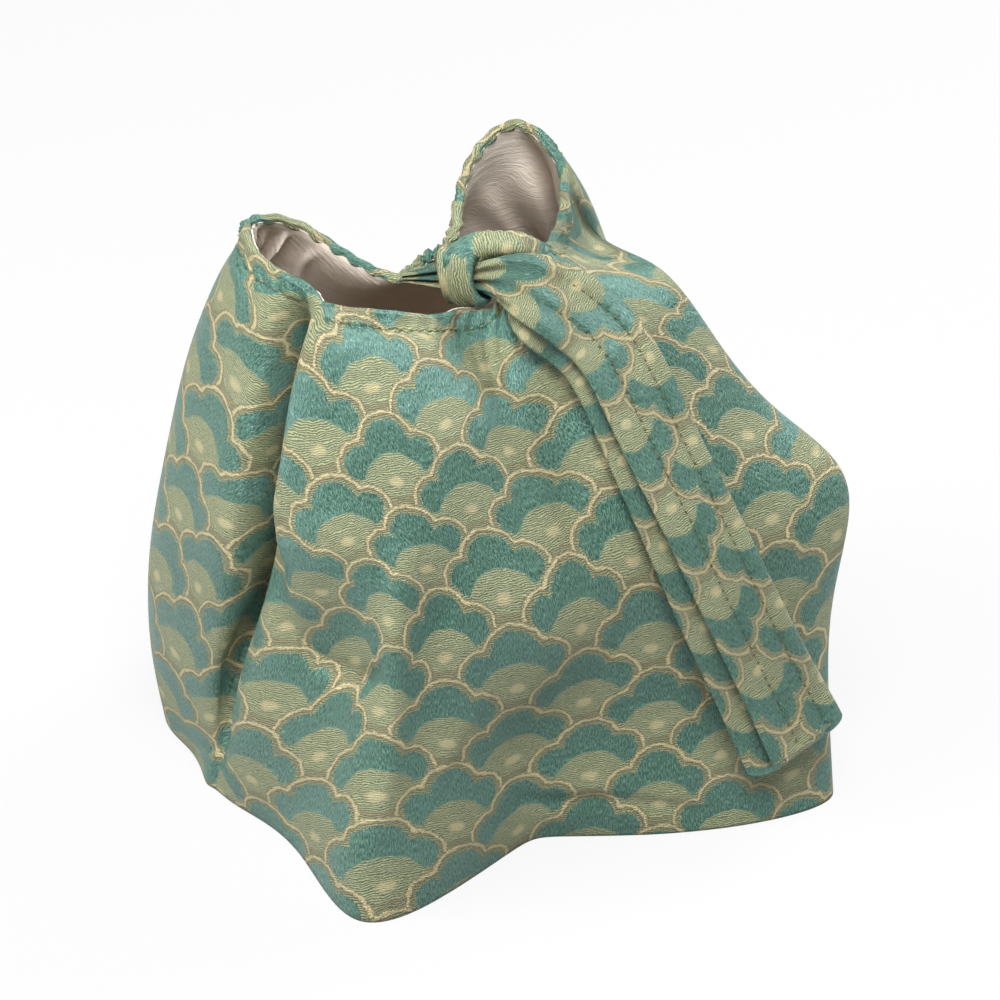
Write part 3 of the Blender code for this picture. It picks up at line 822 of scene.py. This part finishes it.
def scale_edges(tree, known, end):
    """Distances to a scale's satin crown and to its outline, for the lower or the upper scale.

    The crown is the smooth union of a top lobe and two side lobes. The outline has the
    same lobes, but its sides run straight down, so that no arc turns in below them.
    """
    work_out(tree, known, f"""
        side_x SUBTRACT x{end} {SIDE_LOBE[0]}
        side_y SUBTRACT y{end} {SIDE_LOBE[1]}
        side_r LENGTH side_x side_y
        side SUBTRACT side_r {SIDE_LOBE[2]}
        top_y SUBTRACT y{end} {TOP_LOBE[0]}
        top_r LENGTH x{end} top_y
        top SUBTRACT top_r {TOP_LOBE[1]}
        crown{end} SMOOTH_MIN side top 0.6
        flank_x MAXIMUM side_x 0.0
        flank_y MAXIMUM side_y 0.0
        flank_r LENGTH flank_x flank_y
        flank SUBTRACT flank_r {SIDE_LOBE[2]}
        edge{end} SMOOTH_MIN flank top 1.0
    """)


def pick_scale(tree, known, parts):
    """For each part, the lower scale's value where that scale covers the place, or the upper's."""
    for part in parts:
        work_out(tree, known, f"""
            span SUBTRACT {part}l {part}u
            {part} MULTIPLY_ADD span covered {part}u
        """)


def brocade_material(name, settings, place=(0.0, DOME_MIDDLE)):
    """Jacquard brocade: teal satin crowns with gold domes on a ribbed gold ground, edged in cream.

    The satin is a deep green that gleams pale blue where it faces the light; its floats are
    painted lighter, a painted sheen, with painted shade between them. The gold is matt and
    ribbed, with painted shade in the grooves between its ribs, and the outline is a knotty
    raised cord. Satin floats and gold ribs are drawn two to three times as coarse as real
    ones, at 0.5 to 0.7 mm, so that they show. The pattern is placed in millimetres on the
    flat cloth.
    """
    material, tree, shader = new_material(name)
    half, tall = MOTIF_WIDTH / 2, MOTIF_HEIGHT
    scale = (MOTIF_WIDTH * MM / settings.motif_width,
             MOTIF_HEIGHT * MM / settings.motif_height, 1.0)
    cloth = add_node(tree, "ShaderNodeUVMap", {"uv_map": "cloth"})
    placed = add_node(tree, "ShaderNodeMapping", None, {0: cloth, 1: (*place, 0.0), 3: scale})
    fine = add_node(tree, "ShaderNodeMapping", None, {0: placed, 3: (3.4, 0.7, 1.0)})
    noises = {}
    for field, vector, pitch, rough, bend in (("wander", placed, 0.35, 0.5, 0.0),
                                              ("floats", fine, 1.0, 0.6, 0.25),
                                              ("fuzz", placed, 2.2, 0.65, 0.0),
                                              ("cloud", placed, 0.09, 0.5, 0.0)):
        noises[field] = add_node(tree, "ShaderNodeTexNoise", {"noise_dimensions": "2D"},
                                 {"Vector": vector, "Scale": pitch, "Detail": 2.0,
                                  "Roughness": rough, "Distortion": bend})
    shake = add_node(tree, "ShaderNodeVectorMath", {"operation": "SUBTRACT"},
                     {0: noises["wander"].outputs["Color"], 1: (0.5, 0.5, 0.5)})
    drawn = add_node(tree, "ShaderNodeVectorMath", {"operation": "MULTIPLY_ADD"},
                     {0: shake, 1: (1.5, 1.5, 0.0), 2: placed})
    split = add_node(tree, "ShaderNodeSeparateXYZ", None, {0: drawn})
    known = {"u": split.outputs[0], "v": split.outputs[1], **noises}
    low, high = -OUTLINE_REACH, tall - OUTLINE_REACH
    # Two sets of columns overlap at each place: the lower scale covers the upper one.
    work_out(tree, known, f"""
        xa PINGPONG u {half}
        ya WRAP v {high} {low}
        v2 ADD v {tall / 2}
        yb WRAP v2 {high} {low}
        first GREATER_THAN ya yb
        xb SUBTRACT {half} xa
        span SUBTRACT xa xb
        xl MULTIPLY_ADD span first xb
        xu SUBTRACT {half} xl
        yl MAXIMUM ya yb
        yu MINIMUM ya yb
    """)
    scale_edges(tree, known, "l")
    scale_edges(tree, known, "u")
    work_out(tree, known, f"covered LESS_THAN edgel {OUTLINE_REACH}")
    pick_scale(tree, known, ("crown", "edge", "x", "y"))
    # Distances to the dome and to the spot in it, then soft covers with threaded edges.
    work_out(tree, known, f"""
        dome_x DIVIDE x {DOME[0]}
        dome_y0 SUBTRACT y 0.3
        dome_y1 MAXIMUM dome_y0 0.0
        dome_y DIVIDE dome_y1 {DOME[1]}
        dome_r LENGTH dome_x dome_y
        spot_y SUBTRACT y 1.4
        spot_x MULTIPLY x 0.7
        spot_r LENGTH spot_x spot_y
        grain SUBTRACT fuzz 0.5
        tooth SUBTRACT floats 0.5
        strand HELD tooth 3.2 0.5
        tan HELD edge 0.9 0.1
        crown_t MULTIPLY_ADD tooth 2.2 crown
        dome_t MULTIPLY_ADD tooth 0.16 dome_r
        crown_m HELD crown_t -3.0 0.5
        off HELD dome_t 22.0 -21.5
        satin MULTIPLY crown_m off
        dome SUBTRACT 1.0 off
        rib_turns MULTIPLY v {2 * math.pi / RIB_PITCH}
        rib_shaken MULTIPLY_ADD fuzz 5.0 rib_turns
        rib_wave SINE rib_shaken
        rib MULTIPLY_ADD rib_wave 0.5 0.5
        cord_way SUBTRACT edge {CORD_PLACE}
        cord_off ABSOLUTE cord_way
        cord_f MULTIPLY_ADD grain 1.9 cord_off
        cord HELD cord_f -2.4 1.9
        spot_m HELD spot_r -0.9 1.9
        spot MULTIPLY spot_m 0.7
    """)
    # Painted sheen and shade: a lit and a shaded copy of the teal, mixed by the float noise,
    # lighter on the floats and darker between them.
    teal_float_shade = opaque(settings.teal, (0.26, 0.38, 0.36))
    teal_float_sheen = opaque(settings.teal, (2.0, 1.95, 1.95))
    # Painted shade in the grooves between the gold ribs, in a dark green that also stands for the
    # ground threads that show between them.
    gold_groove_shade = opaque(settings.gold, (0.17, 0.20, 0.18))
    tan = opaque(settings.gold, (0.82, 0.66, 0.52))
    cream_dark = opaque(settings.cream, (0.66, 0.52, 0.38))
    satin = mix_colours(tree, teal_float_shade, ((teal_float_sheen, known["strand"]),))
    ground = mix_colours(tree, opaque(settings.gold), ((tan, known["tan"]),))
    ribbed = mix_colours(tree, gold_groove_shade, ((ground, known["rib"]),))
    corded = mix_colours(tree, cream_dark, ((opaque(settings.cream), known["fuzz"]),))
    colour = mix_colours(tree, ribbed, ((satin, known["satin"]), (corded, known["spot"]),
                                        (corded, known["cord"])))
    # Heights over the cloth in millimetres, and roughness, where satin is the smoothest.
    work_out(tree, known, """
        h_rib0 MULTIPLY rib 0.14
        h_rib MULTIPLY_ADD dome 0.10 h_rib0
        h_satin MULTIPLY strand 0.16
        h_gap SUBTRACT h_satin h_rib
        h_low MULTIPLY_ADD h_gap satin h_rib
        h_cord0 MULTIPLY_ADD fuzz 0.36 0.34
        h_cord1 MULTIPLY cord h_cord0
        h_weave ADD h_low h_cord1
        height MULTIPLY_ADD cloud 0.8 h_weave
        rough0 MULTIPLY_ADD satin -0.32 0.70
        rough MULTIPLY_ADD cord 0.10 rough0
    """)
    bump = add_node(tree, "ShaderNodeBump", None,
                    {"Strength": 1.0, "Distance": 1.3 * MM, "Height": known["height"]})
    for socket, value in (("Base Color", colour), ("Roughness", known["rough"].outputs[0]),
                          ("Normal", bump.outputs[0])):
        tree.links.new(value, shader.inputs[socket])
    shader.inputs["Specular IOR Level"].default_value = 0.9
    shader.inputs["IOR"].default_value = 1.7
    shader.inputs["Specular Tint"].default_value = opaque(hex_colour("B8E4EA"))
    shader.inputs["Sheen Weight"].default_value = 0.08
    shader.inputs["Sheen Roughness"].default_value = 0.4
    shader.inputs["Sheen Tint"].default_value = opaque(hex_colour("CFE6EA"))
    return material


def cotton_material(settings):
    """Plain woven cotton: matt beige, with fine upright threads that the light catches.

    Its threads are drawn three times as coarse as real ones, about 0.6 mm apart.
    """
    material, tree, shader = new_material("lining_cotton_plain_weave")
    cloth = add_node(tree, "ShaderNodeUVMap", {"uv_map": "cloth"})
    known = {}
    for field, scale, detail in (("threads", (1.9, 0.22, 1.0), 2.0), ("weft", (0.3, 2.2, 1.0), 1.0),
                                 ("creases", (0.12, 0.12, 1.0), 2.0)):
        drawn = add_node(tree, "ShaderNodeMapping", None, {0: cloth, 3: scale})
        known[field] = add_node(tree, "ShaderNodeTexNoise", {"noise_dimensions": "2D"},
                                {"Vector": drawn, "Scale": 1.0, "Detail": detail})
    work_out(tree, known, """
        weave0 MULTIPLY weft 0.35
        weave MULTIPLY_ADD threads 0.65 weave0
        soft MULTIPLY creases 0.5
        height MULTIPLY_ADD weave 0.5 soft
    """)
    dark = opaque(settings.cotton, (0.76, 0.72, 0.68))
    colour = mix_colours(tree, dark, ((opaque(settings.cotton), known["weave"]),))
    bump = add_node(tree, "ShaderNodeBump", None,
                    {"Strength": 0.6, "Distance": MM, "Height": known["height"]})
    tree.links.new(colour, shader.inputs["Base Color"])
    tree.links.new(bump.outputs[0], shader.inputs["Normal"])
    shader.inputs["Roughness"].default_value = 0.85
    shader.inputs["Specular IOR Level"].default_value = 0.1
    return material


def thread_material(name, code):
    """Twisted sewing thread: matt, with a slow change of shade from stitch to stitch."""
    material, tree, shader = new_material(name)
    place = add_node(tree, "ShaderNodeTexCoord")
    shade = add_node(tree, "ShaderNodeTexNoise", None,
                     {"Vector": place.outputs["Object"], "Scale": 500.0, "Detail": 1.0})
    colour = hex_colour(code)
    mixed = mix_colours(tree, opaque(colour, (0.6, 0.6, 0.6)), ((opaque(colour), shade),))
    tree.links.new(mixed, shader.inputs["Base Color"])
    shader.inputs["Roughness"].default_value = 0.7
    shader.inputs["Specular IOR Level"].default_value = 0.4
    return material


def dress(piece, node):
    """Hang a finished piece on the bag's body, and hide the solid that it replaces, if any."""
    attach(piece, BODY)
    if node:
        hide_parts(node)


class POUCH_OT_outer_bag(bpy.types.Operator):
    """Brocade bag with its hem, folds and flat floor"""

    bl_idname = "pouch.outer_bag"
    bl_label = "Outer bag"

    def execute(self, context):
        settings = context.scene.brocade_pouch
        rows, corners = outer_shell(settings)
        material = brocade_material("teal_gold_brocade", settings)
        piece = grid_object("outer_bag_cloth", rows, corners, material)
        dress(piece, "outer_bag")
        return {"FINISHED"}


class POUCH_OT_hem_stitches(bpy.types.Operator):
    """Row of thread stitches sunk in the hem's groove, right round the mouth"""

    bl_idname = "pouch.hem_stitches"
    bl_label = "Hem stitches"

    def execute(self, context):
        line, outs = hem_line(context.scene.brocade_pouch)
        pitch, length, thickness = HEM_THREAD
        starts, ends, ways = spaced_along(line, outs, pitch, length)
        material = thread_material("hem_thread_olive", "8E8A62")
        piece = stitch_mesh("hem_stitches", starts, ends, ways, thickness, material)
        dress(piece, None)
        return {"FINISHED"}


class POUCH_OT_lining(bpy.types.Operator):
    """Cotton lining, seen through both openings of the mouth"""

    bl_idname = "pouch.lining"
    bl_label = "Lining"

    def execute(self, context):
        settings = context.scene.brocade_pouch
        rows, corners = lining_shell(settings)
        piece = grid_object("lining_cloth", rows, corners, cotton_material(settings))
        dress(piece, "lining")
        return {"FINISHED"}


class POUCH_OT_wrist_strap(bpy.types.Operator):
    """Folded wrist strap with its gathers, bands and two rows of stitches"""

    bl_idname = "pouch.wrist_strap"
    bl_label = "Wrist strap"

    def execute(self, context):
        settings = context.scene.brocade_pouch
        rows, corners = strap_shell(settings)
        material = brocade_material("strap_brocade_pressed", settings)
        piece = grid_object("wrist_strap_band", rows, corners, material)
        dress(piece, "wrist_strap")
        where = np.linspace(5.2, STRAP_LAST - 0.1, 200)
        centre, along, across, out = strap_frame(where)
        width = strap_width(settings, where)
        pitch, length, thickness = STRAP_THREAD
        parts = []
        for share in STRAP_STITCHES:
            line = centre + across * (width * share / 2)[:, None] + out * 0.62
            parts.append(spaced_along(line, out, pitch, length))
        starts, ends, ways = (np.concatenate(part) for part in zip(*parts))
        material = thread_material("strap_thread_dark", "5E5C40")
        piece = stitch_mesh("strap_stitches", starts, ends, ways, thickness, material)
        dress(piece, None)
        return {"FINISHED"}


class POUCH_OT_closing_loop(bpy.types.Operator):
    """Short puffed loop round the gathered strap, and the rolled edge beside it"""

    bl_idname = "pouch.closing_loop"
    bl_label = "Closing loop"

    def execute(self, context):
        settings = context.scene.brocade_pouch
        rows, corners = loop_shell()
        material = brocade_material("loop_brocade", settings, LOOP_PLACE)
        piece = grid_object("closing_loop_band", rows, corners, material, ring=True)
        dress(piece, "closing_loop")
        rows, corners = roll_shell()
        material = brocade_material("rolled_edge_brocade", settings, ROLL_PLACE)
        piece = grid_object("mouth_roll", rows, corners, material)
        dress(piece, None)
        return {"FINISHED"}


def soft_lamp(name, place, size, power):
    """Square soft box of light that points at the target; places in metres, power in watts."""
    data = bpy.data.lights.new(name, "AREA")
    data.size = size
    data.energy = power
    lamp = bpy.data.objects.new(name, data)
    bpy.context.scene.collection.objects.link(lamp)
    lamp.location = place
    x, y, z = np.array(LIGHT_TARGET) - place
    lamp.rotation_euler = (math.atan2(math.hypot(x, y), -z), 0.0, math.atan2(y, x) - math.pi / 2)


class POUCH_OT_stage(bpy.types.Operator):
    """Pale floor, soft studio light and the camera at the photograph's angle"""

    bl_idname = "pouch.stage"
    bl_label = "Stage"

    def execute(self, context):
        scene = context.scene
        bpy.ops.mesh.primitive_plane_add(size=6.0, location=(0, 0, 0))
        floor = context.active_object
        floor.name = "studio_floor"
        material, tree, shader = new_material("pale_paper_floor")
        shader.inputs["Base Color"].default_value = FLOOR_GREY
        shader.inputs["Roughness"].default_value = 0.9
        shader.inputs["Specular IOR Level"].default_value = 0.0
        path = add_node(tree, "ShaderNodeLightPath")
        glow = add_node(tree, "ShaderNodeEmission", None, {"Color": WHITE, "Strength": 1.0})
        share = add_node(tree, "ShaderNodeMath", {"operation": "MULTIPLY"},
                         {0: path.outputs["Is Camera Ray"], 1: 0.85})
        mixed = add_node(tree, "ShaderNodeMixShader", None, {0: share, 1: shader, 2: glow})
        out = next(n for n in tree.nodes if n.type == "OUTPUT_MATERIAL")
        tree.links.new(mixed.outputs[0], out.inputs["Surface"])
        floor.data.materials.append(material)
        world = bpy.data.worlds.new("studio_air")
        scene.world = world
        world.use_nodes = True
        tree = world.node_tree
        tree.nodes.clear()
        path = add_node(tree, "ShaderNodeLightPath")
        seen = add_node(tree, "ShaderNodeMath", {"operation": "MAXIMUM"},
                        {0: path.outputs["Is Camera Ray"], 1: path.outputs["Is Transmission Ray"]})
        air = add_node(tree, "ShaderNodeBackground", None, {"Color": AIR_COLOUR, "Strength": 0.10})
        white = add_node(tree, "ShaderNodeBackground", None, {"Color": WHITE, "Strength": 1.0})
        mixed = add_node(tree, "ShaderNodeMixShader", None, {0: seen, 1: air, 2: white})
        add_node(tree, "ShaderNodeOutputWorld", None, {"Surface": mixed})
        for box in SOFT_BOXES:
            soft_lamp(*box)
        data = bpy.data.cameras.new("photo_camera")
        data.lens = 135.0
        data.sensor_width = 36.0
        camera = bpy.data.objects.new("photo_camera", data)
        scene.collection.objects.link(camera)
        tilt = math.radians(CAMERA_TILT)
        back = np.array([0.0, -math.cos(tilt), math.sin(tilt)])
        camera.location = CAMERA_AIM + CAMERA_REACH * back
        camera.rotation_euler = (math.pi / 2 - tilt, 0.0, 0.0)
        data.clip_start = 0.05
        scene.camera = camera
        scene.view_settings.view_transform = "Standard"
        return {"FINISHED"}


class POUCH_PT_panel(bpy.types.Panel):
    """Pouch pieces and their settings"""

    bl_idname = "POUCH_PT_panel"
    bl_label = "Brocade knot pouch"
    bl_space_type = "VIEW_3D"
    bl_region_type = "UI"
    bl_category = "Pouch"

    def draw(self, context):
        for name in PouchSettings.__annotations__:
            self.layout.prop(context.scene.brocade_pouch, name)
        for maker in PIECES:
            self.layout.operator(maker.bl_idname)


PIECES = (POUCH_OT_outer_bag, POUCH_OT_hem_stitches, POUCH_OT_lining, POUCH_OT_wrist_strap,
          POUCH_OT_closing_loop, POUCH_OT_stage)
CLASSES = (PouchSettings, *PIECES, POUCH_PT_panel)


def register():
    """Add the classes and the scene's settings."""
    for item in CLASSES:
        bpy.utils.register_class(item)
    bpy.types.Scene.brocade_pouch = bpy.props.PointerProperty(type=PouchSettings)


def unregister():
    """Take the settings and the classes away again."""
    del bpy.types.Scene.brocade_pouch
    for item in reversed(CLASSES):
        bpy.utils.unregister_class(item)


def main():
    """Make every piece in order."""
    register()
    bpy.ops.pouch.outer_bag()
    bpy.ops.pouch.hem_stitches()
    bpy.ops.pouch.lining()
    bpy.ops.pouch.wrist_strap()
    bpy.ops.pouch.closing_loop()
    bpy.ops.pouch.stage()


if __name__ == "__main__":
    main()
